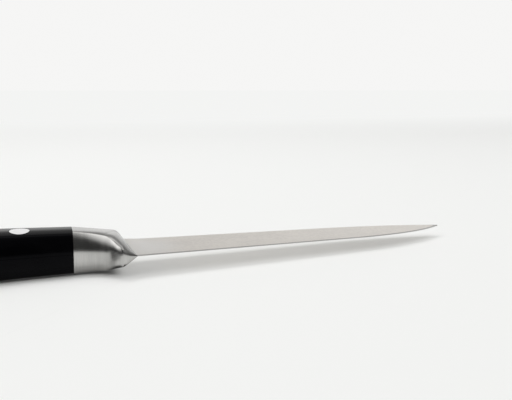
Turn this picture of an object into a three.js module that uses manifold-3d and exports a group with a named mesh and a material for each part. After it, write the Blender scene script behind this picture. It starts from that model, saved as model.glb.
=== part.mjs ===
// A fruit knife lying on its side: a ground blade with a hidden tang, a steel bolster with a finger guard,
// two handle scales that close round the tang, and three two-part rivets that hold the scales.
// Millimetres, +Z up. In the knife's own frame X runs from the heel to the tip, Y from the cutting edge
// to the spine, Z = 0 is the middle of the blade and the heel of the cutting edge is the zero point.
import * as THREE from 'three';
import { mergeVertices } from 'three/addons/utils/BufferGeometryUtils.js';
import Module from 'manifold-3d';

// Blade
const BLADE_LENGTH = 125;
const BLADE_WIDTH = 20;
const ROOT_THICKNESS = 2.4;
const ROOT_LENGTH = 4;
const SPINE_THICKNESS = 1.8;
const TIP_THICKNESS = 0.6;
const BEVEL_THICKNESS = 0.36;
const BEVEL_HEIGHT = 0.9;
const EDGE_LAND = 0.05;
const EDGE_RISE = 3.6;
const EDGE_SWEEP = 42;
const SPINE_SWEEP = 53;
const TIP_DROP = 5.4;
const TIP_LAND = 0.2;
const BEND_SHARE = 0.33;
const TIP_SHARE = 0.25;
const TIP_FALL = 0.33;

// Tang, which tapers from the shoulders to its end
const SHOULDER_DEPTH = 9;
const SPINE_ENTRY = 2.6;
const TANG_WIDTH = 8;
const TANG_END_WIDTH = 7;
const TANG_END_COVER = 14;

// Bolster
const BOLSTER_LENGTH = 19.5;
const BOLSTER_FRONT_THICKNESS = 10.8;
const RAMP_TOP_BACK = 4.9;
const RAMP_TOP_BELLY = 9.7;
const RAMP_FOOT_BACK = 1.3;
const RAMP_CROWN = 0.9;
const CREASE_CROWN = 1.4;
const GUARD_SETBACK = 5.1;
const GUARD_THICKNESS = 6.2;
const GUARD_DROP = 1.1;
const GUARD_LEAD = 8.7;
const GUARD_FALL = 6.3;
const GUARD_LEAN = 2;
const PROW_RISE = 0.35;
const PROW_LAND = 0.1;

// Handle: heights of its long lines at the joint, the finger grip, the swell and the butt
const HANDLE_LENGTH = 92;
const GRIP_SETBACK = 25;
const SWELL_SETBACK = 60;
const JOINT_THICKNESS = 14.7;
const BUTT_THICKNESS = 18.8;
const CREASE_LINE = [9, 8.4, 6.2, 6.6];
const SHOULDER_LINE = [15.6, 15.9, 15.8, 14.6];
const BACK_LINE = [20.8, 21.8, 21.6, 19.8];
const BELLY_BOW = 2.2;
const BUTT_ROUND = 5;
const BUTT_EDGE = 2.5;

// Rivets
const RIVET_NAMES = ['front', 'middle', 'rear'];
const RIVET_FRONT_SETBACK = 16;
const RIVET_REAR_COVER = 6;
const RIVET_HEAD = 6;
const RIVET_HEAD_DEPTH = 1.6;
const RIVET_RECESS = 0.05;
const TUBE_DIAMETER = 4.2;
const POST_DIAMETER = 2.4;
const POST_SHORT = 1;

// Clearances of the slot, pockets and bores, and the glue line between the scales
const FIT = 0.15;
const GLUE_LINE = 0.2;

// How finely curves are stepped
const BLADE_STEPS = 14;
const SWEEP_STEPS = 16;
const COLLAR_STEPS = 8;
const GUARD_STEPS = 10;
const PROW_STEPS = 6;
const HANDLE_STEPS = 12;
const BUTT_STEPS = 5;
const BELLY_STEPS = 5;
const FLANK_STEPS = 3;
const BACK_STEPS = 7;
const ROUND_STEPS = 28;

const JOINT_X = -BOLSTER_LENGTH;
const BUTT_X = JOINT_X - HANDLE_LENGTH;
const FLANK_SLOPE = (BUTT_THICKNESS - JOINT_THICKNESS) / 2 / HANDLE_LENGTH;

const wasm = await Module();
wasm.setup();

const mix = (a, b, t) => a + (b - a) * t;

// Closed solid through rings of equal point counts, with a fan of triangles over each end
function loft(rings) {
  const count = rings[0].length;
  const positions = rings.flat().flatMap((p) => p.toArray());
  const triangles = [];
  for (let r = 0; r + 1 < rings.length; r += 1) {
    for (let i = 0; i < count; i += 1) {
      const a = r * count + i;
      const b = r * count + ((i + 1) % count);
      triangles.push([a, b, b + count], [a, b + count, a + count]);
    }
  }
  const fan = (ring, first, flip) => {
    const middle = ring.reduce((sum, p) => sum.add(p), new THREE.Vector3()).divideScalar(count);
    const hub = positions.length / 3;
    positions.push(...middle.toArray());
    for (let i = 0; i < count; i += 1) {
      const a = first + i;
      const b = first + ((i + 1) % count);
      triangles.push(flip ? [hub, b, a] : [hub, a, b]);
    }
  };
  fan(rings[0], 0, true);
  fan(rings[rings.length - 1], (rings.length - 1) * count, false);
  return faceOut(positions, triangles);
}

// Geometry whose triangles all point out, whichever way the rings ran
function faceOut(positions, triangles) {
  const corner = (i) => new THREE.Vector3().fromArray(positions, i * 3);
  const volume = triangles.reduce((sum, [a, b, c]) => sum + corner(a).dot(corner(b).cross(corner(c))), 0);
  const index = volume < 0 ? triangles.map(([a, b, c]) => [a, c, b]) : triangles;
  const geometry = new THREE.BufferGeometry();
  geometry.setAttribute('position', new THREE.Float32BufferAttribute(positions, 3));
  geometry.setIndex(index.flat());
  return geometry;
}

// Solids for cutting, and back to geometry
function toSolid(geometry) {
  const bare = geometry.clone();
  bare.deleteAttribute('normal');
  bare.deleteAttribute('uv');
  const merged = mergeVertices(bare, 1e-4);
  const vertProperties = new Float32Array(merged.attributes.position.array);
  const triVerts = new Uint32Array(merged.index.array);
  return new wasm.Manifold(new wasm.Mesh({ numProp: 3, vertProperties, triVerts }));
}

function toGeometry(solid) {
  const mesh = solid.getMesh();
  const geometry = new THREE.BufferGeometry();
  geometry.setAttribute('position', new THREE.Float32BufferAttribute(mesh.vertProperties, 3));
  geometry.setIndex(Array.from(mesh.triVerts));
  return geometry;
}

// Mirror image through the middle plane of the blade
function mirrored(geometry) {
  const copy = geometry.clone().scale(1, 1, -1);
  const index = copy.index.array;
  for (let i = 0; i < index.length; i += 3) {
    [index[i], index[i + 1]] = [index[i + 1], index[i]];
  }
  return copy;
}

// Round piece on an axis along Z at (x, y), from a profile of [radius, z] pairs
function turned(profile, x, y) {
  const points = profile.map(([radius, z]) => new THREE.Vector2(radius, z));
  return new THREE.LatheGeometry(points, ROUND_STEPS).rotateX(Math.PI / 2).translate(x, y, 0);
}

function rod(diameter, low, high, x, y) {
  return turned([[0, low], [diameter / 2, low], [diameter / 2, high], [0, high]], x, y);
}

// Smooth line along the handle through four heights, at a distance behind the joint
function handleLine(heights) {
  const knots = [0, GRIP_SETBACK, SWELL_SETBACK, HANDLE_LENGTH];
  return (setback) => heights.reduce((sum, height, i) => {
    const others = knots.filter((_, j) => j !== i);
    return sum + others.reduce((part, knot) => part * (setback - knot) / (knots[i] - knot), height);
  }, 0);
}

const creaseAt = handleLine(CREASE_LINE);
const shoulderAt = handleLine(SHOULDER_LINE);
const backAt = handleLine(BACK_LINE);
const flankAt = (setback) => JOINT_THICKNESS / 2 + FLANK_SLOPE * setback;

// The rivets and the tang follow the middle of the flat flank
const gripAt = (setback) => (creaseAt(setback) + shoulderAt(setback)) / 2;
const TANG_END = HANDLE_LENGTH - TANG_END_COVER;
const rivetSpan = TANG_END - RIVET_REAR_COVER - RIVET_FRONT_SETBACK;
const rivets = RIVET_NAMES.map((name, i) => {
  const setback = RIVET_FRONT_SETBACK + rivetSpan * i / (RIVET_NAMES.length - 1);
  return { name, x: JOINT_X - setback, y: gripAt(setback), half: flankAt(setback) };
});

// Half of a cross-section, from the belly over the crease and the flat flank to the back.
// crease and shoulder are the ends of the flank, and base is the Z at which both ends stop.
function halfSection(crease, shoulder, back, base) {
  const bow = BELLY_BOW * crease.z / (JOINT_THICKNESS / 2);
  const points = [];
  for (let i = 0; i < BELLY_STEPS; i += 1) {
    const z = mix(base, crease.z, i / BELLY_STEPS);
    points.push(new THREE.Vector3(crease.x, crease.y - bow * (1 - (z / crease.z) ** 2), z));
  }
  for (let i = 0; i < FLANK_STEPS; i += 1) {
    points.push(crease.clone().lerp(shoulder, i / FLANK_STEPS));
  }
  for (let i = 0; i <= BACK_STEPS; i += 1) {
    const turn = Math.PI / 2 * i / BACK_STEPS;
    const y = mix(shoulder.y, back, Math.sin(turn));
    points.push(new THREE.Vector3(shoulder.x, y, Math.max(base, shoulder.z * Math.cos(turn))));
  }
  return points;
}

// Blade and tang: each ring runs from a point on the edge side to its partner on the spine side
function bladeGeometry(grow) {
  const tip = new THREE.Vector2(BLADE_LENGTH, BLADE_WIDTH - TIP_DROP);
  const edgeBend = new THREE.Vector2(BLADE_LENGTH - EDGE_SWEEP, EDGE_RISE);
  const spineBend = new THREE.Vector2(BLADE_LENGTH - SPINE_SWEEP, BLADE_WIDTH);
  const heel = new THREE.Vector2(0, 0);
  const spineStart = new THREE.Vector2(-SPINE_ENTRY, BLADE_WIDTH);
  const edgeSlope = EDGE_RISE / edgeBend.x;
  const edgeCurve = new THREE.CubicBezierCurve(
    edgeBend,
    new THREE.Vector2(edgeBend.x + EDGE_SWEEP * BEND_SHARE, EDGE_RISE + edgeSlope * EDGE_SWEEP * BEND_SHARE),
    new THREE.Vector2(BLADE_LENGTH - EDGE_SWEEP * TIP_SHARE, mix(EDGE_RISE, tip.y, TIP_FALL)),
    tip,
  );
  const spineCurve = new THREE.CubicBezierCurve(
    spineBend,
    new THREE.Vector2(spineBend.x + SPINE_SWEEP * BEND_SHARE, BLADE_WIDTH),
    new THREE.Vector2(BLADE_LENGTH - SPINE_SWEEP * TIP_SHARE, mix(BLADE_WIDTH, tip.y, TIP_FALL)),
    tip,
  );
  const rootEnd = ROOT_LENGTH / spineBend.x;
  const straight = [0];
  for (let i = 0; i < BLADE_STEPS; i += 1) {
    straight.push(mix(rootEnd, 1, i / BLADE_STEPS));
  }
  const pairs = straight.map((t) => [heel.clone().lerp(edgeBend, t), spineStart.clone().lerp(spineBend, t)]);
  for (let i = 0; i <= SWEEP_STEPS; i += 1) {
    pairs.push([edgeCurve.getPoint(i / SWEEP_STEPS), spineCurve.getPoint(i / SWEEP_STEPS)]);
  }
  pairs[pairs.length - 1][0].y -= TIP_LAND;

  const ring = (edge, spine, edgeThick, bevelThick, spineThick) => {
    const across = spine.clone().sub(edge);
    const bevel = Math.min(BEVEL_HEIGHT, across.length() / 2);
    across.normalize();
    const low = edge.clone().addScaledVector(across, -grow);
    const mid = edge.clone().addScaledVector(across, bevel);
    const high = spine.clone().addScaledVector(across, grow);
    const side = (s) => [
      new THREE.Vector3(low.x, low.y, s * (edgeThick / 2 + grow)),
      new THREE.Vector3(mid.x, mid.y, s * (bevelThick / 2 + grow)),
      new THREE.Vector3(high.x, high.y, s * (spineThick / 2 + grow)),
    ];
    return [...side(1), ...side(-1).reverse()];
  };
  const tangRing = (x, middle, width) => {
    const low = new THREE.Vector2(x, middle - width / 2);
    const high = new THREE.Vector2(x, middle + width / 2);
    return ring(low, high, SPINE_THICKNESS, SPINE_THICKNESS, SPINE_THICKNESS);
  };
  const tang = [
    tangRing(JOINT_X - TANG_END - grow, gripAt(TANG_END), TANG_END_WIDTH),
    tangRing(JOINT_X, gripAt(0), TANG_WIDTH),
    tangRing(-SHOULDER_DEPTH, gripAt(0), TANG_WIDTH),
  ];
  const ground = pairs.map(([edge, spine], i) => {
    const thick = mix(SPINE_THICKNESS, TIP_THICKNESS, spine.x / BLADE_LENGTH);
    return ring(edge, spine, EDGE_LAND, BEVEL_THICKNESS, i === 0 ? ROOT_THICKNESS : thick);
  });
  return loft([...tang, ...ground]);
}

// Height of a curve that runs forwards, where it passes x
function heightAt(curve, x) {
  let low = 0;
  let high = 1;
  while (high - low > 1e-6) {
    const t = (low + high) / 2;
    if (curve.getPoint(t).x < x) low = t;
    else high = t;
  }
  return curve.getPoint(low).y;
}

// Bolster: its flanks taper forwards, then a ramp falls to the blade, sooner and longer on the belly side.
// The crease between belly and flank sweeps down to the corner of the finger guard and on to the heel.
function bolsterGeometry() {
  const corner = new THREE.Vector2(-GUARD_SETBACK, -GUARD_DROP);
  const prow = new THREE.Vector2(-PROW_LAND, PROW_RISE);
  const sweep = new THREE.CubicBezierCurve(
    new THREE.Vector2(JOINT_X, CREASE_LINE[0]),
    new THREE.Vector2(JOINT_X + GUARD_LEAD, CREASE_LINE[0]),
    new THREE.Vector2(corner.x - GUARD_LEAN, corner.y + GUARD_FALL),
    corner,
  );
  const guard = new THREE.LineCurve(corner, prow);
  const taper = (JOINT_THICKNESS - BOLSTER_FRONT_THICKNESS) / 2 / (BOLSTER_LENGTH - RAMP_TOP_BACK);
  const flank = (x) => JOINT_THICKNESS / 2 - taper * (x - JOINT_X);

  const ring = (curve, creaseX, creaseZ, shoulderX, shoulderZ) => {
    const crease = new THREE.Vector3(creaseX, heightAt(curve, creaseX), creaseZ);
    const shoulder = new THREE.Vector3(shoulderX, SHOULDER_LINE[0], shoulderZ);
    const back = mix(BACK_LINE[0], BLADE_WIDTH, (shoulderX - JOINT_X) / (BOLSTER_LENGTH - RAMP_FOOT_BACK));
    const upper = halfSection(crease, shoulder, back, 0);
    const lower = upper.slice(1, -1).reverse().map((p) => new THREE.Vector3(p.x, p.y, -p.z));
    return [...upper, ...lower];
  };
  const collarRing = (t) => {
    const creaseX = mix(JOINT_X, -RAMP_TOP_BELLY, t);
    const shoulderX = mix(JOINT_X, -RAMP_TOP_BACK, t);
    return ring(sweep, creaseX, flank(creaseX), shoulderX, flank(shoulderX));
  };
  const rampRing = (curve, creaseX, creaseZ) => {
    const fall = (creaseX + RAMP_TOP_BELLY) / (prow.x + RAMP_TOP_BELLY);
    const shoulderZ = mix(PROW_LAND, BOLSTER_FRONT_THICKNESS, (1 - fall) ** RAMP_CROWN) / 2;
    return ring(curve, creaseX, creaseZ, mix(-RAMP_TOP_BACK, -RAMP_FOOT_BACK, fall), shoulderZ);
  };
  const guardRing = (t) => {
    const creaseZ = mix(flank(-RAMP_TOP_BELLY), GUARD_THICKNESS / 2, t ** CREASE_CROWN);
    return rampRing(sweep, mix(-RAMP_TOP_BELLY, corner.x, t), creaseZ);
  };
  const prowRing = (t) => {
    const creaseZ = mix(GUARD_THICKNESS, PROW_LAND, t ** CREASE_CROWN) / 2;
    return rampRing(guard, mix(corner.x, prow.x, t), creaseZ);
  };
  const rings = [];
  for (let i = 0; i < COLLAR_STEPS; i += 1) {
    rings.push(collarRing(i / COLLAR_STEPS));
  }
  for (let i = 0; i < GUARD_STEPS; i += 1) {
    rings.push(guardRing(i / GUARD_STEPS));
  }
  for (let i = 0; i <= PROW_STEPS; i += 1) {
    rings.push(prowRing(i / PROW_STEPS));
  }
  return loft(rings);
}

// Handle scale on the +Z side, before its pocket and bores
function scaleGeometry() {
  const section = (setback, roundedIn, thinned) => {
    const x = JOINT_X - setback;
    const z = flankAt(setback) - thinned;
    const back = backAt(setback) - roundedIn;
    const crease = new THREE.Vector3(x, creaseAt(setback) + roundedIn, z);
    const shoulder = new THREE.Vector3(x, Math.min(shoulderAt(setback), back), z);
    return halfSection(crease, shoulder, back, GLUE_LINE / 2);
  };
  const rings = [];
  const straight = HANDLE_LENGTH - BUTT_ROUND;
  for (let i = 0; i <= HANDLE_STEPS; i += 1) {
    rings.push(section(mix(FIT, straight, i / HANDLE_STEPS), 0, 0));
  }
  for (let i = 1; i <= BUTT_STEPS; i += 1) {
    const turn = Math.PI / 2 * i / BUTT_STEPS;
    const inset = 1 - Math.cos(turn);
    rings.push(section(straight + BUTT_ROUND * Math.sin(turn), BUTT_ROUND * inset, BUTT_EDGE * inset));
  }
  return loft(rings);
}

// Bores for the rivets in the upper scale: a through hole and a seat for the head
function rivetCutters({ x, y, half }) {
  const above = half + RIVET_HEAD_DEPTH;
  const seat = half - RIVET_HEAD_DEPTH - FIT;
  const shank = rod(TUBE_DIAMETER + 2 * FIT, -above, above, x, y);
  const head = rod(RIVET_HEAD + 2 * FIT, seat, above, x, y);
  return { shank: toSolid(shank), head: toSolid(head) };
}

// The outer face of a rivet head is ground flush with the sloping flank
function groundFlush(geometry, { x, half }) {
  const position = geometry.attributes.position;
  for (let i = 0; i < position.count; i += 1) {
    const z = position.getZ(i);
    if (Math.abs(z) > half - RIVET_HEAD_DEPTH / 2) {
      const face = half - RIVET_RECESS + FLANK_SLOPE * (x - position.getX(i));
      position.setZ(i, Math.sign(z) * face);
    }
  }
  return geometry;
}

function rivetTube(rivet) {
  const { x, y, half } = rivet;
  const seat = half - RIVET_HEAD_DEPTH;
  const bore = POST_DIAMETER / 2 + FIT;
  const profile = [
    [0, -half],
    [RIVET_HEAD / 2, -half],
    [RIVET_HEAD / 2, -seat],
    [TUBE_DIAMETER / 2, -seat],
    [TUBE_DIAMETER / 2, seat - FIT],
    [bore, seat - FIT],
    [bore, -seat],
    [0, -seat],
  ];
  return groundFlush(turned(profile, x, y), rivet);
}

function rivetPost(rivet) {
  const { x, y, half } = rivet;
  const seat = half - RIVET_HEAD_DEPTH;
  const profile = [
    [0, POST_SHORT - seat],
    [POST_DIAMETER / 2, POST_SHORT - seat],
    [POST_DIAMETER / 2, seat],
    [RIVET_HEAD / 2, seat],
    [RIVET_HEAD / 2, half],
    [0, half],
  ];
  return groundFlush(turned(profile, x, y), rivet);
}

const satinSteel = new THREE.MeshStandardMaterial({ color: 0xc9c5c0, roughness: 0.38, metalness: 1 });
const brushedSteel = new THREE.MeshStandardMaterial({ color: 0xbdbcb8, roughness: 0.3, metalness: 1 });
const blackPlastic = new THREE.MeshStandardMaterial({ color: 0x0a0a0e, roughness: 0.35, metalness: 0 });
const rivetSteel = new THREE.MeshStandardMaterial({ color: 0xb4b2ad, roughness: 0.34, metalness: 1 });

const knife = new THREE.Group();
function add(name, geometry, material) {
  const mesh = new THREE.Mesh(geometry, material);
  mesh.name = name;
  knife.add(mesh);
}

const slot = toSolid(bladeGeometry(FIT));
const cutters = rivets.map(rivetCutters);
const blade = cutters.reduce((solid, { shank }) => solid.subtract(shank), toSolid(bladeGeometry(0)));
const scale = cutters.reduce(
  (solid, { shank, head }) => solid.subtract(shank).subtract(head),
  toSolid(scaleGeometry()).subtract(slot),
);
const scaleRight = toGeometry(scale);

add('blade', toGeometry(blade), satinSteel);
add('bolster', toGeometry(toSolid(bolsterGeometry()).subtract(slot)), brushedSteel);
add('scale_right', scaleRight, blackPlastic);
add('scale_left', mirrored(scaleRight), blackPlastic);
for (const rivet of rivets) {
  add(`${rivet.name}_rivet_tube`, rivetTube(rivet), rivetSteel);
  add(`${rivet.name}_rivet_post`, rivetPost(rivet), rivetSteel);
}

// At rest the knife lies on its left flank, and its origin is at the middle of its footprint
knife.rotation.y = Math.atan(FLANK_SLOPE);
const box = new THREE.Box3().setFromObject(knife, true);
const middle = box.getCenter(new THREE.Vector3());
knife.position.set(-middle.x, -middle.y, -box.min.z);

const fruitKnife = new THREE.Group();
fruitKnife.add(knife);
export default fruitKnife;
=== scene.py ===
import bpy
import bmesh
from math import atan, cos, pi, radians, sin
from mathutils import Matrix, Vector


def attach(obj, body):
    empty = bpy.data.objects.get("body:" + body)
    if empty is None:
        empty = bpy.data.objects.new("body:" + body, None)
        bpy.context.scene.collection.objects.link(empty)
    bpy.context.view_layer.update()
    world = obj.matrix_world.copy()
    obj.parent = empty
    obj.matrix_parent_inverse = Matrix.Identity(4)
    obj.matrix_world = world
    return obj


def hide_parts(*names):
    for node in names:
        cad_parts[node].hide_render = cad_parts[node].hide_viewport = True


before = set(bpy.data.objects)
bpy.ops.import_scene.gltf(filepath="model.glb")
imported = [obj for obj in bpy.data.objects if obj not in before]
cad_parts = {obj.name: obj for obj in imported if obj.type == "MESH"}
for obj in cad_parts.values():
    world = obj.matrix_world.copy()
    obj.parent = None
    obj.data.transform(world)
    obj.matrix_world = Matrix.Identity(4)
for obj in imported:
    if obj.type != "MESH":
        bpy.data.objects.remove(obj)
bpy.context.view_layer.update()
scene = bpy.context.scene
scene.view_settings.view_transform = "Standard"

# The table and its light: a plain white top under a soft lamp, in a room that the steel mirrors.
# Beyond the knife is a pale wall, overhead a wide window and on the right a faint one. The rest is dark.
# The table is painted dark where the steel mirrors its front and the strip right under the bolster's nose,
# and a painted contact shadow darkens it near the knife.


class Wire:
    """A socket in a node tree. Arithmetic on it adds Math nodes, and node() adds any other node."""

    def __init__(self, tree, socket=None):
        self.tree = tree
        self.socket = socket

    def node(self, kind, settings, inputs, output=0):
        made = self.tree.nodes.new(kind)
        for key, value in settings.items():
            setattr(made, key, value)
        for key, value in inputs.items():
            for source in value if isinstance(value, list) else [value]:
                if isinstance(source, Wire):
                    self.tree.links.new(source.socket, made.inputs[key])
                else:
                    made.inputs[key].default_value = source
        return Wire(self.tree, made.outputs[output] if made.outputs else None)

    def other(self, output):
        """Another output of the node that this wire comes from."""
        return Wire(self.tree, self.socket.node.outputs[output])

    def axis(self, name):
        """One axis of this vector. The others are other outputs of the same node."""
        return self.node("ShaderNodeSeparateXYZ", {}, {0: self}, name)

    def maths(self, operation, a, b):
        return self.node("ShaderNodeMath", {"operation": operation}, {0: a, 1: b})

    def __add__(self, other):
        return self.maths("ADD", self, other)

    def __sub__(self, other):
        return self.maths("SUBTRACT", self, other)

    def __rsub__(self, other):
        return self.maths("SUBTRACT", other, self)

    def __mul__(self, other):
        return self.maths("MULTIPLY", self, other)

    def __truediv__(self, other):
        return self.maths("DIVIDE", self, other)

    __radd__ = __add__
    __rmul__ = __mul__

    def or_more(self, other):
        return self.maths("MAXIMUM", self, other)

    def step(self, low, high):
        smooth = {"interpolation_type": "SMOOTHSTEP"}
        return self.node("ShaderNodeMapRange", smooth, {0: self, 1: low, 2: high, 3: 0.0, 4: 1.0})

    def mixed(self, first, second):
        return self.node("ShaderNodeMix", {"data_type": "RGBA"}, {0: self, 6: first, 7: second}, 2)


def empty_material(name):
    """A new material, a wire into its tree, and a wire that gives the place on the object."""
    material = bpy.data.materials.new(name)
    material.use_nodes = True
    material.node_tree.nodes.clear()
    wire = Wire(material.node_tree)
    return material, wire, wire.node("ShaderNodeTexCoord", {}, {}, "Object")


eye = Vector((-0.0347485, -0.1973761, 0.0594595))
gaze = Vector((0.33589318, 0.92427045, -0.18138332))
camera = bpy.data.objects.new("camera", bpy.data.cameras.new("camera"))
camera.location = eye
camera.rotation_euler = gaze.to_track_quat("-Z", "Y").to_euler()
camera.data.sensor_width = 36
camera.data.lens = 42.1875
camera.data.clip_start = 0.005
scene.collection.objects.link(camera)
scene.camera = camera

table_half = 30
table_corners = [(-1, -1), (1, -1), (1, 1), (-1, 1)]
white = (0.9, 0.905, 0.895, 1)
glow_level = 0.34
# Strength of the painted shade.
painted_shade_level = 0.06
contact_reach = 0.006
# Share of the painted contact shadow.
contact_shadow_share = 0.6
table_top = bpy.data.meshes.new("table_top")
table_top.from_pydata([(x * table_half, y * table_half, 0) for x, y in table_corners], [], [(0, 1, 2, 3)])
table = bpy.data.objects.new("table", table_top)
scene.collection.objects.link(table)
table_white, wire, spot = empty_material("table_white")
paint = {"Base Color": white, "Roughness": 0.6, "Specular IOR Level": 0.1}
painted = wire.node("ShaderNodeBsdfPrincipled", {}, paint)
glowing = wire.node("ShaderNodeEmission", {}, {"Color": white, "Strength": 1.0})
# The dark emission that the painted shade and the painted contact shadow mix in.
painted_shade_emission = wire.node("ShaderNodeEmission", {}, {"Color": white, "Strength": painted_shade_level})
by_camera = wire.node("ShaderNodeLightPath", {}, {}, "Is Camera Ray")
by_mirror = by_camera.other("Is Glossy Ray")
along = spot.axis("X")
across = along.other("Y")
near = (across + along * 0.6).step(-0.17, -0.06)
under_blade = along.step(-0.0165, -0.0095)
under_nose = along.step(-0.0185, -0.0155) * (1 - along.step(-0.0085, -0.0062))
behind_edge = (across + along * 0.5).step(-0.0196, -0.0174) * (1 - across.step(-0.006, 0.0))
sky_share = wire.node("ShaderNodeAmbientOcclusion", {}, {"Distance": contact_reach}, "AO")
tight = 1 - sky_share.step(0.2, 0.5)
open_air = sky_share.step(0.45, 0.92).or_more(under_blade * by_camera)
seen = by_camera.or_more(by_mirror * near)
far = by_camera * across.step(0.1, 1.0)
glow_share = (seen * open_air * glow_level).or_more(far)
lit = wire.node("ShaderNodeMixShader", {}, {0: glow_share, 1: painted, 2: glowing})
# Painted shade in the steel: the table's front, and a strip under the bolster's nose, are painted dark for
# glossy rays.
painted_shade_in_mirror = by_mirror * (1 - near * (1 - tight.or_more(under_nose * behind_edge)))
# Painted contact shadow: seen from the camera, the table is painted darker where the knife closely covers it,
# but not under the blade.
painted_contact_shadow = by_camera * (1 - under_blade) * tight * contact_shadow_share
painted_shade_share = painted_shade_in_mirror.or_more(painted_contact_shadow)
finish = wire.node("ShaderNodeMixShader", {}, {0: painted_shade_share, 1: lit, 2: painted_shade_emission})
wire.node("ShaderNodeOutputMaterial", {}, {"Surface": finish})
table_top.materials.append(table_white)

lamp = bpy.data.objects.new("overhead_lamp", bpy.data.lights.new("overhead_lamp", "AREA"))
lamp.data.shape = "DISK"
lamp.data.size = 0.5
lamp.data.energy = 2.8
lamp.location = (-0.15, 0.3, 0.9)
lamp.visible_glossy = False
lamp.rotation_euler = lamp.location.to_track_quat("Z", "Y").to_euler()
scene.collection.objects.link(lamp)

room = bpy.data.worlds.new("room")
room.use_nodes = True
room.node_tree.nodes.clear()
scene.world = room
wire = Wire(room.node_tree)
ray = wire.node("ShaderNodeTexCoord", {}, {}, "Generated")


def towards(way):
    """How far a ray of the room runs along a direction."""
    return wire.node("ShaderNodeVectorMath", {"operation": "DOT_PRODUCT"}, {0: ray, 1: way}, "Value")


room_dark = 0.045
backdrop_level = 0.92
backdrop_tint = (1, 0.998, 0.99, 1)
right = towards((1, 0, 0))
ahead = towards((0, 1, 0))
upward = towards((0, 0, 1))
wall = towards((0.3, 0.954, 0)).step(0.3, 0.9) * (1 - upward.step(0.22, 0.45) * 0.75)
to_window = towards((-0.224, 0.129, 0.966))
pane = to_window.step(0.39, 0.82) * (1 - to_window.step(0.83, 0.95) * 0.75)
blind = ahead.step(0.2, 0.5) * (1 - right.step(0.1, 0.3)) * 0.5
window = pane * (1 - ahead.step(0.35, 0.8) * 0.8) * (1 - blind)
side_wall = right.step(0.5, 0.9)
side_window = right.step(0.6, 0.85) * upward.step(0.3, 0.5)
glow = room_dark + wall * 0.87 + window * 1.7 + side_wall * 0.2 + side_window * 0.4
direct = wire.node("ShaderNodeLightPath", {}, {}, "Is Camera Ray")
strength = glow + direct * (backdrop_level - glow)
background = wire.node("ShaderNodeBackground", {}, {"Color": backdrop_tint, "Strength": strength})
wire.node("ShaderNodeOutputWorld", {}, {"Surface": background})

# The blade and its tang: one strip of stainless steel, ground to a wedge and then to a fine cutting bevel.
# It thickens a little at its root, and a narrow tang runs back from it through the bolster to the handle.
# Sizes are in millimetres from the heel of the blade, and lie turns them into the frame's metres.
heel = Vector((-6.675, -9.955, 6.914))
handle_length = 92
joint_thickness = 14.7
butt_thickness = 18.8
flank_slope = (butt_thickness - joint_thickness) / 2 / handle_length
tilt = atan(flank_slope)
lie = Matrix.Scale(0.001, 4) @ Matrix.Translation(heel) @ Matrix.Rotation(tilt, 4, "Y")
joint_x = -19.5
blade_length = 125
blade_width = 20
tip_height = 14.6
tip_land = 0.2
edge_rise = 3.6
edge_sweep = 42
spine_sweep = 53
sweep_lead = 0.33
sweep_close = 0.25
spine_entry = 2.6
spine_thickness = 1.8
spine_thickness_at_tip = 0.6
spine_rounding = 0.18
root_swell = 0.6
root_swell_length = 7
edge_land = 0.05
bevel_height = 0.9
bevel_thickness = 0.36
tang_length = 78
tang_front = -9
tang_width = 8
tang_end_width = 7
tang_middle = 12.3
tang_end_middle = 10.6
tang_rounding = 0.05
# Middle of the blade's painted root highlight.
root_highlight_middle = Vector((2, 9, 0))
finest_edge = 2e-6


def blend(a, b, t):
    return a + (b - a) * t


def ease(t):
    t = min(1, max(0, t))
    return t * t * (3 - 2 * t)


def arc(points, t):
    """A point on the Bezier curve through a list of control points."""
    while len(points) > 1:
        points = [blend(a, b, t) for a, b in zip(points, points[1:])]
    return points[0]


def flipped(points):
    """The same points on the knife's other side."""
    return [Vector((p.x, p.y, -p.z)) for p in points]


def skin(name, rings):
    """A closed mesh over rings of equal point counts, in the knife's own millimetres."""
    count = len(rings[0])
    faces = [tuple(range(count)), tuple(range(len(rings) * count - 1, (len(rings) - 1) * count - 1, -1))]
    for first in range(0, (len(rings) - 1) * count, count):
        for i in range(count):
            j = (i + 1) % count
            faces.append((first + i, first + i + count, first + j + count, first + j))
    mesh = bpy.data.meshes.new(name)
    mesh.from_pydata([lie @ p for ring in rings for p in ring], [], faces)
    work = bmesh.new()
    work.from_mesh(mesh)
    bmesh.ops.recalc_face_normals(work, faces=work.faces)
    work.to_mesh(mesh)
    work.free()
    piece = bpy.data.objects.new(name, mesh)
    scene.collection.objects.link(piece)
    return piece


def clean(mesh):
    """Closes the slivers that a cut leaves in a mesh, and drops faces that lie double."""
    work = bmesh.new()
    work.from_mesh(mesh)
    bmesh.ops.remove_doubles(work, verts=work.verts, dist=finest_edge)
    bmesh.ops.dissolve_degenerate(work, dist=finest_edge, edges=work.edges)
    bmesh.ops.triangulate(work, faces=work.faces)
    twins = {}
    for face in work.faces:
        twins.setdefault(frozenset(face.verts), []).append(face)
    doubled = [face for faces in twins.values() if len(faces) > 1 for face in faces]
    bmesh.ops.delete(work, geom=doubled, context="FACES")
    work.to_mesh(mesh)
    work.free()


def carve(piece, cutters, operation="DIFFERENCE"):
    """Cuts a piece with others, and makes the result its plain mesh."""
    for cutter in cutters:
        cut = piece.modifiers.new("cut", "BOOLEAN")
        cut.operation = operation
        cut.solver = "EXACT"
        cut.object = cutter
    evaluated = piece.evaluated_get(bpy.context.evaluated_depsgraph_get())
    mesh = bpy.data.meshes.new_from_object(evaluated)
    piece.modifiers.clear()
    piece.data = mesh
    clean(mesh)


def shade(piece, crisp):
    """Smooth shading that breaks at edges sharper than an angle in degrees."""
    piece.data.polygons.foreach_set("use_smooth", [True] * len(piece.data.polygons))
    piece.data.set_sharp_from_angle(angle=radians(crisp))


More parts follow.
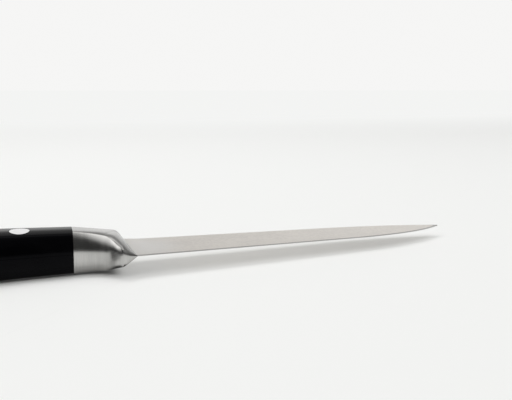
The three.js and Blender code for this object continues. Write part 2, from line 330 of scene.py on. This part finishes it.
def noise(spot, stretch, detail):
    """Noise over an object, at a number of waves per metre along each axis."""
    place = spot.node("ShaderNodeMapping", {}, {"Vector": spot, "Scale": stretch})
    return spot.node("ShaderNodeTexNoise", {}, {"Vector": place, "Scale": 1.0, "Detail": detail}, "Fac")


def distance(spot, point):
    """Distance in metres from a point in the knife's own millimetres."""
    apart = {"operation": "DISTANCE"}
    return spot.node("ShaderNodeVectorMath", apart, {0: spot, 1: lie @ point}, "Value")


def surface(wire, colour, rough, relief, strength, depth, others):
    """The surface shader of a material, with marks cut to a depth in metres, joined to its output."""
    bump = wire.node("ShaderNodeBump", {}, {"Strength": strength, "Distance": depth, "Height": relief})
    inputs = {"Base Color": colour, "Roughness": rough, "Normal": bump, **others}
    shader = wire.node("ShaderNodeBsdfPrincipled", {}, inputs)
    wire.node("ShaderNodeOutputMaterial", {}, {"Surface": shader})


def blade_rings(grow):
    """Cross-sections from the end of the tang to the tip, larger all round by a gap."""
    tip = Vector((blade_length, tip_height))
    edge_bend = Vector((blade_length - edge_sweep, edge_rise))
    spine_bend = Vector((blade_length - spine_sweep, blade_width))
    spine_start = Vector((-spine_entry, blade_width))
    edge_curve = [
        edge_bend,
        edge_bend * (1 + sweep_lead * edge_sweep / edge_bend.x),
        Vector((blade_length - sweep_close * edge_sweep, blend(edge_rise, tip_height, sweep_lead))),
        tip - Vector((0, tip_land)),
    ]
    spine_curve = [
        spine_bend,
        spine_bend + Vector((sweep_lead * spine_sweep, 0)),
        Vector((blade_length - sweep_close * spine_sweep, blend(blade_width, tip_height, sweep_lead))),
        tip,
    ]

    def ring(edge, spine, edge_thick, bevel_thick, spine_thick, rounding):
        across = (spine - edge).normalized()
        reach = (spine - edge).length
        bevel = min(bevel_height, reach / 2)
        soft = min(rounding, reach / 4)
        off_corner = soft * 0.3
        side = [(-grow, edge_thick / 2), (bevel, bevel_thick / 2)]
        for share in (0.25, 0.5, 0.75, 1):
            along = blend(bevel, reach - soft, share)
            thick = blend(bevel_thick, spine_thick, (along - bevel) / (reach - bevel))
            side.append((along, thick / 2))
        side.append((reach - off_corner + grow, spine_thick / 2 - off_corner))
        side.append((reach + grow, spine_thick / 2 - soft))
        upper = [Vector((*(edge + across * along), half + grow)) for along, half in side]
        return upper + flipped(reversed(upper))

    def tang_ring(x, middle, width):
        low = Vector((x, middle - width / 2))
        high = low + Vector((0, width))
        return ring(low, high, spine_thickness, spine_thickness, spine_thickness, tang_rounding)

    def blade_ring(edge, spine, swell):
        along = max(0, spine.x) / blade_length
        thick = blend(spine_thickness, spine_thickness_at_tip, along) + swell
        return ring(edge, spine, edge_land, bevel_thickness, thick, spine_rounding)

    rings = [
        tang_ring(joint_x - tang_length - grow, tang_end_middle, tang_end_width),
        tang_ring(joint_x, tang_middle, tang_width),
        tang_ring(tang_front, tang_middle, tang_width),
    ]
    straight_steps, sweep_steps = 60, 48
    closer_at_root = 1.5
    for i in range(straight_steps):
        t = (i / straight_steps) ** closer_at_root
        spine = spine_start.lerp(spine_bend, t)
        swell = root_swell * (1 - ease((spine.x + spine_entry) / root_swell_length))
        rings.append(blade_ring(edge_bend * t, spine, swell))
    for i in range(sweep_steps + 1):
        t = i / sweep_steps
        rings.append(blade_ring(arc(edge_curve, t), arc(spine_curve, t), 0))
    return rings


blade_steel, wire, spot = empty_material("satin_blade_steel")
grind = noise(spot, (9000, 260, 260), 3.0)
cloud = noise(spot, (60, 160, 60), 4.0)
mottle = noise(spot, (900, 700, 700), 3.0)
tone = (cloud * 0.35 + mottle * 0.45 + grind * 0.2).step(0.36, 0.64)
satin = tone.mixed((0.86, 0.818, 0.769, 1), (0.96, 0.916, 0.859, 1))
# Painted highlight: the satin colour is painted lighter round the root of the blade.
painted_root_highlight = (1 - distance(spot, root_highlight_middle).step(0.004, 0.017)) * 0.8
satin_with_highlight = painted_root_highlight.mixed(satin, (1.0, 0.986, 0.965, 1))
facing = wire.node("ShaderNodeNewGeometry", {}, {}, "Normal")
# Painted shade: the cutting bevel's facets are painted darker, which draws the dark line along the edge.
bevel = 1 - facing.axis("Y").step(-0.14, -0.07)
blade_colour = bevel.mixed(satin_with_highlight, (0.58, 0.565, 0.55, 1))
blade_rough = 0.28 + cloud * 0.06 + grind * 0.04
surface(wire, blade_colour, blade_rough, grind, 0.15, 0.00002, {"Metallic": 1.0})

blade = skin("blade_and_tang", blade_rings(0))
blade.data.materials.append(blade_steel)

# The bolster: a block of stainless steel, slotted for the blade, shaped and then polished with a fine belt.
# Its flanks taper to a ramp that falls to the blade, and its belly sweeps down to guard the finger.
front_thickness = 10.8
ramp_top_back = 4.9
ramp_top_belly = 9.7
ramp_foot_back = 1.3
ramp_curve = 0.9
ramp_rounding = 1.2
guard_thickness = 6.2
guard_drop_curve = 1.65
guard_corner = Vector((-5.1, -1.1))
prow = Vector((-0.1, 0.35))
prow_land = 0.1
prow_lead = Vector((2.4, 0.35))
prow_curve = 1.3
belly_bow = 2.2
belly_flatness = 2
nose = Vector((-4.9, -1.95))
nose_way = Vector((-0.35, -0.94))
nose_way_start = 0.45
nose_lead = Vector((0.6, -0.09))
nose_flatness = 4
nose_flatness_start = 0.3
nose_edge = 0.55
turn_start = 0.56
turn_probe = 0.04
turn_lead = 0.7
steepest = 1.1
crease_edge = 0.25
edge_limit = 0.35
flank_roll = 4
roll_limit = 0.9
flank_crown = 1.1
flank_crown_end = 0.5
facet_crown = 3.8
crown_curve = 1.3
joint_crease = 9
joint_shoulder = 15.6
joint_back = 20.8
sweep_middle = Vector((-7, 0, 0.5))
# Middle of the belly's painted shade.
belly_shade_middle = Vector((-11.5, 4, 2))
slot_gap = 0.02
sweep_flat = 8.7
sweep_end_lead = Vector((-2, 6.3))
sweep_curve = [
    Vector((joint_x, joint_crease)),
    Vector((joint_x + sweep_flat, joint_crease)),
    guard_corner + sweep_end_lead,
    guard_corner,
]


def half_section(crease, middle, shoulder, back, base, edge, roll, crown, flatness):
    """Upper half of a cross-section, from the bowed belly over the crease and rolled flank to the back."""
    belly_steps, roll_steps, flank_steps, back_steps = 16, 20, 16, 20
    bow = middle - crease.xy
    edge = min(edge, edge_limit * crease.z)
    slope = Vector((flatness * bow.length / crease.z, 1)).normalized()
    turn_in = crease.z - edge * slope.y
    roll_end = min(roll_limit, roll / (shoulder - crease).length)

    def belly(z):
        bulge = bow * (1 - (z / crease.z) ** flatness)
        return Vector((crease.x + bulge.x, crease.y + bulge.y, z))

    def crowned(point, share):
        return point + Vector((0, 0, crown * share * (1 - share) ** crown_curve))

    points = [belly(blend(base, turn_in, i / belly_steps)) for i in range(belly_steps)]
    flank_start = crease.lerp(shoulder, roll_end)
    closer_at_crease = 1.5
    for i in range(roll_steps):
        t = (i / roll_steps) ** closer_at_crease
        points.append(crowned(arc([belly(turn_in), crease, flank_start], t), roll_end * t * t))
    for i in range(flank_steps):
        share = blend(roll_end, 1, i / flank_steps)
        points.append(crowned(crease.lerp(shoulder, share), share))
    for i in range(back_steps + 1):
        turn = pi / 2 * i / back_steps
        z = max(base, shoulder.z * cos(turn))
        points.append(Vector((shoulder.x, blend(shoulder.y, back, sin(turn)), z)))
    return points


def lower_of(a, b, rounding):
    """The lower of two heights, with the corner between them rounded off."""
    share = min(1, max(0, 0.5 + 0.5 * (b - a) / rounding))
    return blend(b, a, share) - rounding * share * (1 - share)


def after(start, t):
    """An eased share of what is left of a run after a start."""
    return ease((t - start) / (1 - start))


def sweep_at(x):
    """The sweep's point at a length along the knife, and the direction square to it, away from the steel."""
    low, high = 0, 1
    while high - low > 1e-5:
        middle = (low + high) / 2
        if arc(sweep_curve, middle).x < x:
            low = middle
        else:
            high = middle
    point = arc(sweep_curve, low)
    run = arc([b - a for a, b in zip(sweep_curve, sweep_curve[1:])], low)
    return point, Vector((run.y, -run.x)).normalized()


def bolster_rings():
    """Cross-sections of the collar, then of the guard, then of the prow that the guard ends in."""
    taper = (joint_thickness - front_thickness) / 2 / (-joint_x - ramp_top_back)

    def flank(x):
        return joint_thickness / 2 - taper * (x - joint_x)

    def shoulder_height(x):
        fall = (x + ramp_top_back) / (ramp_top_back - ramp_foot_back)
        ramp = blend(prow_land, front_thickness, max(0, 1 - fall) ** ramp_curve) / 2
        return lower_of(flank(x), ramp, ramp_rounding)

    def facet_bulge(fall):
        return facet_crown * sin(pi * fall) ** crown_curve + flank_crown * (1 - ease(fall / flank_crown_end))

    def ring(crease, middle, shoulder_x, crown, flatness, edge):
        shoulder = Vector((shoulder_x, joint_shoulder, shoulder_height(shoulder_x)))
        back = blend(joint_back, blade_width, (shoulder_x - joint_x) / (-joint_x - ramp_foot_back))
        flatness = min(flatness, steepest * crease.z / (middle - crease.xy).length)
        upper = half_section(crease, middle, shoulder, back, 0, edge, flank_roll, crown, flatness)
        return upper + flipped(reversed(upper[1:-1]))

    def ramp_ring(crease, middle, fall, flatness, edge):
        shoulder_x = blend(-ramp_top_back, -ramp_foot_back, fall)
        return ring(crease, middle, shoulder_x, facet_bulge(fall), flatness, edge)

    def fall_at(x):
        return (x + ramp_top_belly) / (prow.x + ramp_top_belly)

    def guard_crease(t):
        x = blend(-ramp_top_belly, guard_corner.x, t)
        drop = (flank(guard_corner.x) - guard_thickness / 2) * t ** guard_drop_curve
        return Vector((*sweep_at(x)[0], flank(x) - drop))

    def guard_middle(t):
        crease = guard_crease(t)
        outward = sweep_at(blend(-ramp_top_belly, guard_corner.x, t))[1]
        way = outward.lerp(nose_way, after(nose_way_start, t)).normalized()
        return crease.xy + way * belly_bow * crease.z / flank(joint_x)

    turn_from = guard_middle(turn_start)
    turn_run = (turn_from - guard_middle(turn_start - turn_probe)).normalized()
    turn = [turn_from, turn_from + turn_run * turn_lead, nose - nose_lead, nose]
    prow_middle = [nose, nose + prow_lead, prow]
    rings = []
    collar_steps, guard_steps, prow_steps = 24, 36, 24
    for i in range(collar_steps):
        t = i / collar_steps
        x = blend(joint_x, -ramp_top_belly, t)
        point, outward = sweep_at(x)
        crease = Vector((*point, flank(x)))
        middle = point + outward * belly_bow * flank(x) / flank(joint_x)
        shoulder_x = blend(joint_x, -ramp_top_back, t)
        rings.append(ring(crease, middle, shoulder_x, flank_crown * ease(t), belly_flatness, crease_edge))
    for i in range(guard_steps):
        t = i / guard_steps
        middle = guard_middle(t)
        if t > turn_start:
            middle = arc(turn, (t - turn_start) / (1 - turn_start))
        flatness = blend(belly_flatness, nose_flatness, after(nose_flatness_start, t))
        edge = blend(crease_edge, nose_edge, ease(t))
        rings.append(ramp_ring(guard_crease(t), middle, t * fall_at(guard_corner.x), flatness, edge))
    for i in range(prow_steps + 1):
        t = i / prow_steps
        line = guard_corner.lerp(prow, t)
        crease = Vector((*line, blend(guard_thickness, prow_land, t ** prow_curve) / 2))
        rings.append(ramp_ring(crease, arc(prow_middle, t), fall_at(line.x), nose_flatness, nose_edge))
    return rings


# The bolster's colour carries painted shade on a patch of the belly and on the ramp.
bolster_steel, wire, spot = empty_material("brushed_bolster_steel")
brush = noise(spot, (3200, 120, 120), 4.0)
smear = noise(spot, (420, 150, 150), 3.0)
tone = (brush * 0.6 + smear * 0.4).step(0.3, 0.7)
polished = tone.mixed((0.48, 0.476, 0.465, 1), (0.57, 0.563, 0.55, 1))
dull = 1 - distance(spot, sweep_middle).step(0.002, 0.007)
forward = wire.node("ShaderNodeNewGeometry", {}, {}, "Normal").axis("X")
ramp = forward.step(0.25, 0.5) * forward.other("Z").step(0.05, 0.3)
along = spot.axis("X")
ramp_foot = (along - along.other("Y") * 0.35).step(-0.0145, -0.008)
# Painted shade: a round patch of the belly behind the guard, where it faces sideways or down, is painted
# darker.
below = 1 - forward.other("Z").step(0.15, 0.4)
painted_belly_shade = (1 - distance(spot, belly_shade_middle).step(0.002, 0.007)) * below
# Painted shade on the bolster: the belly patch, the ramp's facets and, most of all, the ramp's foot are mixed
# towards near-black.
painted_bolster_shade = painted_belly_shade * 0.15 + ramp * (0.1 + ramp_foot * 0.72)
bolster_colour = painted_bolster_shade.mixed(polished, (0.17, 0.169, 0.163, 1))
bolster_rough = 0.13 + smear * 0.07 + brush * 0.05 + dull * 0.05 + ramp * ramp_foot * 0.04
surface(wire, bolster_colour, bolster_rough, brush, 0.2, 0.00003, {"Metallic": 1.0})

bolster = skin("bolster_with_guard", bolster_rings())
bolster.data.materials.append(bolster_steel)
slot = skin("slot", blade_rings(slot_gap))
carve(bolster, [slot])
shade(bolster, 32)
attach(bolster, "root")
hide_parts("bolster")

# The two handle scales: black plastic halves that close round the tang and meet along the handle's middle.
# They are glued, drilled through with the tang and counterbored for the rivets.
# Then they are shaped and smoothed together, with a rounded butt.
butt_round = 5
butt_edge = 2.5
knots = (0, 25, 60, handle_length)
crease_line = (joint_crease, 8.4, 6.2, 6.6)
shoulder_line = (joint_shoulder, 15.9, 15.8, 14.6)
back_line = (joint_back, 21.8, 21.6, 19.8)
joint_gap = 0.04
glue_line = 0.08
scale_edge = 1.4
scale_roll = 6
rivet_names = ("front", "middle", "rear")
rivet_setbacks = (16, 44, 72)
shank_bore = 4.24
head_bore = 6.06
head_bore_depth = 1.64
drill_reach = 30


def line_height(heights, setback):
    """Height of one of the handle's long lines, on a smooth curve through four heights."""
    total = 0
    for i, height in enumerate(heights):
        for j, knot in enumerate(knots):
            if j != i:
                height *= (setback - knot) / (knots[i] - knot)
        total += height
    return total


def half_thickness(setback):
    return joint_thickness / 2 + flank_slope * setback


def scale_rings(base):
    """Cross-sections of the right scale from the joint to the butt, down to a height above the middle."""

    def section(setback, inset, thinned):
        x = joint_x - setback
        z = half_thickness(setback) - thinned
        crease_y = line_height(crease_line, setback)
        back_y = line_height(back_line, setback)
        shoulder_share = (line_height(shoulder_line, setback) - crease_y) / (back_y - crease_y)
        back = back_y - inset
        crease = Vector((x, crease_y + inset, z))
        shoulder = Vector((x, blend(crease.y, back, shoulder_share), z))
        middle = crease.xy - Vector((0, belly_bow * z / half_thickness(0)))
        return half_section(crease, middle, shoulder, back, base, scale_edge, scale_roll, 0, belly_flatness)

    rings = []
    straight = handle_length - butt_round
    straight_steps, butt_steps = 60, 16
    for i in range(straight_steps + 1):
        rings.append(section(blend(joint_gap, straight, i / straight_steps), 0, 0))
    for i in range(1, butt_steps + 1):
        turn = pi / 2 * i / butt_steps
        inset = 1 - cos(turn)
        rings.append(section(straight + butt_round * sin(turn), butt_round * inset, butt_edge * inset))
    return rings


def rod(name, x, y, diameter, low, high):
    """A round rod across the knife, used to drill it."""
    count = 64
    turns = [2 * pi * i / count for i in range(count)]
    rim = [(x + cos(turn) * diameter / 2, y + sin(turn) * diameter / 2) for turn in turns]
    return skin(name, [[Vector((u, v, z)) for u, v in rim] for z in (low, high)])


handle_plastic, wire, spot = empty_material("black_handle_plastic")
grain = noise(spot, (900, 2600, 2600), 3.0)
wear = noise(spot, (90, 140, 140), 3.0)
plastic_colour = wear.step(0.35, 0.65).mixed((0.0012, 0.0012, 0.0016, 1), (0.0024, 0.0024, 0.003, 1))
plastic_rough = 0.08 + wear * 0.1
dark_gloss = {"IOR": 1.42, "Specular Tint": (0.12, 0.12, 0.13, 1)}
surface(wire, plastic_colour, plastic_rough, grain, 0.08, 0.00003, dark_gloss)

rivet_places = []
shank_bores = []
head_bores = []
for setback in rivet_setbacks:
    x = joint_x - setback
    y = (line_height(crease_line, setback) + line_height(shoulder_line, setback)) / 2
    half = half_thickness(setback)
    rivet_places.append((x, y, half))
    shank_bores.append(rod("bore", x, y, shank_bore, -drill_reach, drill_reach))
    for side in (1, -1):
        head_bores.append(rod("bore", x, y, head_bore, side * (half - head_bore_depth), side * drill_reach))
for side, node in ((1, "scale_right"), (-1, "scale_left")):
    rings = scale_rings(glue_line / 2)
    if side < 0:
        rings = [flipped(ring) for ring in rings]
    scale = skin(f"handle_{node}", rings)
    scale.data.materials.append(handle_plastic)
    carve(scale, [slot, *shank_bores, *head_bores])
    shade(scale, 32)
    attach(scale, "root")
    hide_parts(node)

carve(blade, shank_bores)
shade(blade, 5)
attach(blade, "root")
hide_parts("blade")
for tool in (slot, *shank_bores, *head_bores):
    bpy.data.objects.remove(tool)

# The rivets: three steel pairs, a tube from the left and a post from the right, pressed together in the tang.
# Their heads sit in counterbores, stand a little proud at first and are ground flush with the flanks.
rivet_steel, wire, spot = empty_material("ground_rivet_steel")
polish = noise(spot, (300, 6000, 300), 3.0)
rivet_colour = polish.mixed((0.52, 0.515, 0.5, 1), (0.64, 0.63, 0.61, 1))
surface(wire, rivet_colour, 0.28 + polish * 0.08, polish, 0.15, 0.00002, {"Metallic": 1.0})

rivet_tree = bpy.data.node_groups.new("flush_rivets", "GeometryNodeTree")
rivet_tree.interface.new_socket("Places", in_out="INPUT", socket_type="NodeSocketGeometry")
rivet_sizes = {"Head Diameter": 0.006, "Head Depth": 0.00155, "Ground Off": 0.0003, "Shank Diameter": 0.0042}
size_sockets = {}
for name in rivet_sizes:
    socket = rivet_tree.interface.new_socket(name, in_out="INPUT", socket_type="NodeSocketFloat")
    size_sockets[name] = socket.identifier
rivet_tree.interface.new_socket("Rivets", in_out="OUTPUT", socket_type="NodeSocketGeometry")
wire = Wire(rivet_tree)
places = wire.node("NodeGroupInput", {}, {}, "Places")
head_diameter, head_depth, ground_off, shank_diameter = (places.other(name) for name in rivet_sizes)


def cylinder(diameter, depth):
    sizes = {"Vertices": 64, "Radius": diameter / 2, "Depth": depth}
    return wire.node("GeometryNodeMeshCylinder", {}, sizes, "Mesh")


def moved(geometry, way):
    return wire.node("GeometryNodeTransform", {}, {"Geometry": geometry, "Translation": way})


def named(kind, name):
    return wire.node("GeometryNodeInputNamedAttribute", {"data_type": kind}, {"Name": name}, "Attribute")


def up_by(height):
    return wire.node("ShaderNodeCombineXYZ", {}, {"Z": height})


head = moved(cylinder(head_diameter, head_depth + ground_off), up_by((ground_off - head_depth) / 2))
shank = moved(cylinder(shank_diameter, 1.0), (0, 0, -0.5))
placing = {"Points": places, "Rotation": named("FLOAT_VECTOR", "lean")}
heads = wire.node("GeometryNodeInstanceOnPoints", {}, {**placing, "Instance": head})
shank_length = named("FLOAT", "half") - head_depth
reach = wire.node("ShaderNodeCombineXYZ", {}, {"X": 1.0, "Y": 1.0, "Z": shank_length})
shanks = wire.node("GeometryNodeInstanceOnPoints", {}, {**placing, "Instance": shank, "Scale": reach})
sunk = {"Instances": shanks, "Translation": up_by(head_depth * -1)}
lowered = wire.node("GeometryNodeTranslateInstances", {}, sunk)
joined = wire.node("GeometryNodeJoinGeometry", {}, {"Geometry": [heads, lowered]})
whole = wire.node("GeometryNodeRealizeInstances", {}, {"Geometry": joined})
dressed = wire.node("GeometryNodeSetMaterial", {}, {"Geometry": whole, "Material": rivet_steel})
wire.node("NodeGroupOutput", {}, {"Rivets": dressed})

# The left heads face straight down to the table, and the right ones lean by the slope of both flanks.
points = bpy.data.meshes.new("rivets")
ends = [(x, y, half, side) for x, y, half in rivet_places for side in (1, -1)]
points.from_pydata([lie @ Vector((x, y, side * half)) for x, y, half, side in ends], [], [])
halves = points.attributes.new("half", "FLOAT", "POINT")
halves.data.foreach_set("value", [half * 0.001 for x, y, half, side in ends])
leans = points.attributes.new("lean", "FLOAT_VECTOR", "POINT")
for row, (x, y, half, side) in zip(leans.data, ends):
    row.vector = (0, 2 * tilt, 0) if side > 0 else (pi, 0, 0)
rivets = bpy.data.objects.new("rivets", points)
scene.collection.objects.link(rivets)
maker = rivets.modifiers.new("flush_rivets", "NODES")
maker.node_group = rivet_tree
for name, size in rivet_sizes.items():
    maker[size_sockets[name]] = size
evaluated = rivets.evaluated_get(bpy.context.evaluated_depsgraph_get())
rivets.data = bpy.data.meshes.new_from_object(evaluated)
rivets.modifiers.clear()
handle_form = skin("handle_form", [ring + flipped(ring[-2:0:-1]) for ring in scale_rings(0)])
carve(rivets, [handle_form], "INTERSECT")
bpy.data.objects.remove(handle_form)
shade(rivets, 30)
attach(rivets, "root")
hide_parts(*[f"{name}_rivet_{half}" for name in rivet_names for half in ("tube", "post")])
